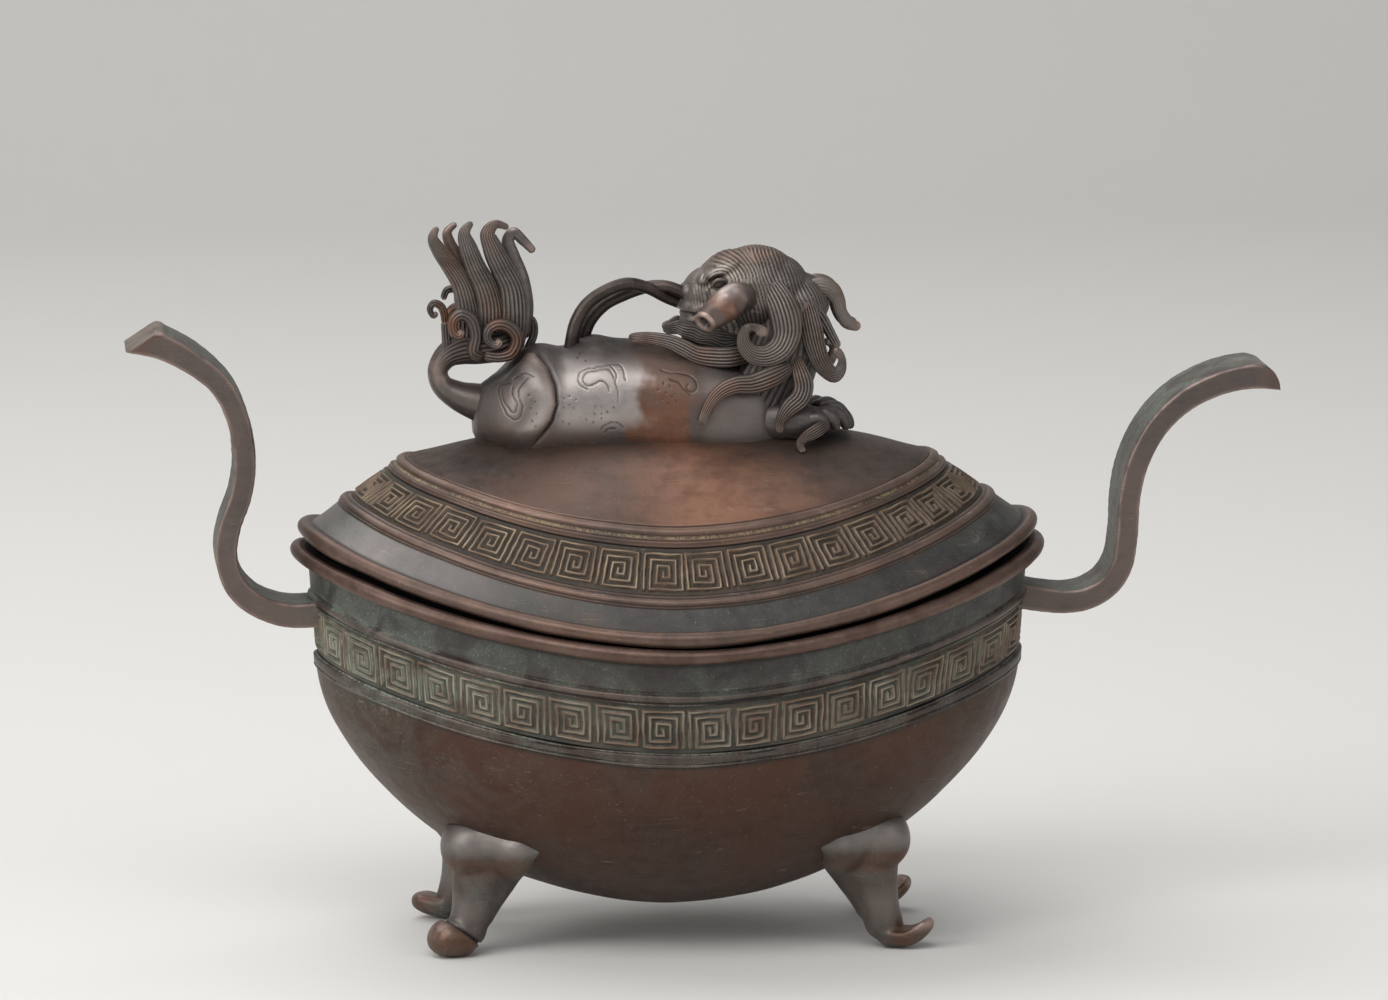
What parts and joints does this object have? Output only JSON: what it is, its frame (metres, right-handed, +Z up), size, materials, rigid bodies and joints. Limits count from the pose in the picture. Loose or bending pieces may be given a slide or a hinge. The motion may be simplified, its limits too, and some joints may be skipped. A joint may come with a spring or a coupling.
{
  "type": "lidded incense burner",
  "caption": "Oval bronze incense burner with strap handles, short curled feet and a domed lid that lifts off, crowned by a resting lion.",
  "frame": {"origin": "on the ground plane under the middle of the whole object's box, handles included", "axes": "+X along the oval from the left handle to the right handle, +Y to the back, +Z up"},
  "size_m": [0.3168, 0.134, 0.2001],
  "materials": {
    "bowl_bronze": "dark brown patina with green in the lines",
    "lid_bronze": "brown patina, worn copper rims",
    "handle_bronze": "dark satin patina, worn edges",
    "lion_bronze": "grey brown satin patina, worn high points"
  },
  "bodies": {
    "vessel": {"bowl": "bowl_bronze", "foot_back_left": "handle_bronze", "foot_back_right": "handle_bronze", "foot_front_left": "handle_bronze", "foot_front_right": "handle_bronze", "handle_left": "handle_bronze", "handle_right": "handle_bronze"},
    "cover": {"beard": "lion_bronze", "ear_back": "lion_bronze", "ear_front": "lion_bronze", "elbow_tuft_far": "lion_bronze", "elbow_tuft_front": "lion_bronze", "foreleg_back": "lion_bronze", "foreleg_front": "lion_bronze", "lid": "lid_bronze", "lion_body": "lion_bronze", "lion_head": "lion_bronze", "lion_neck": "lion_bronze", "mane_back_far": "lion_bronze", "mane_back_front": "lion_bronze", "mane_chest_far": "lion_bronze", "mane_chest_front": "lion_bronze", "mane_curl_far": "lion_bronze", "mane_curl_front": "lion_bronze", "mane_hook_far": "lion_bronze", "mane_hook_front": "lion_bronze", "mane_horn_far": "lion_bronze", "mane_horn_front": "lion_bronze", "mane_shoulder_far": "lion_bronze", "mane_shoulder_front": "lion_bronze", "plume_lock_1": "lion_bronze", "plume_lock_2": "lion_bronze", "plume_lock_3": "lion_bronze", "plume_lock_4": "lion_bronze", "plume_lock_5": "lion_bronze", "ribbon_strand_1": "lion_bronze", "ribbon_strand_2": "lion_bronze", "tail_curl_1": "lion_bronze", "tail_curl_2": "lion_bronze", "tail_curl_3": "lion_bronze", "tail_curl_4": "lion_bronze", "tail_curl_5": "lion_bronze", "tail_curl_stem": "lion_bronze", "tail_root": "lion_bronze"}
  },
  "joints": [
    {"name": "lid_lift", "type": "slide", "parent": "vessel", "child": "cover", "axis": [0, 0, 1], "range_m": [0, 0.08]}
  ]
}
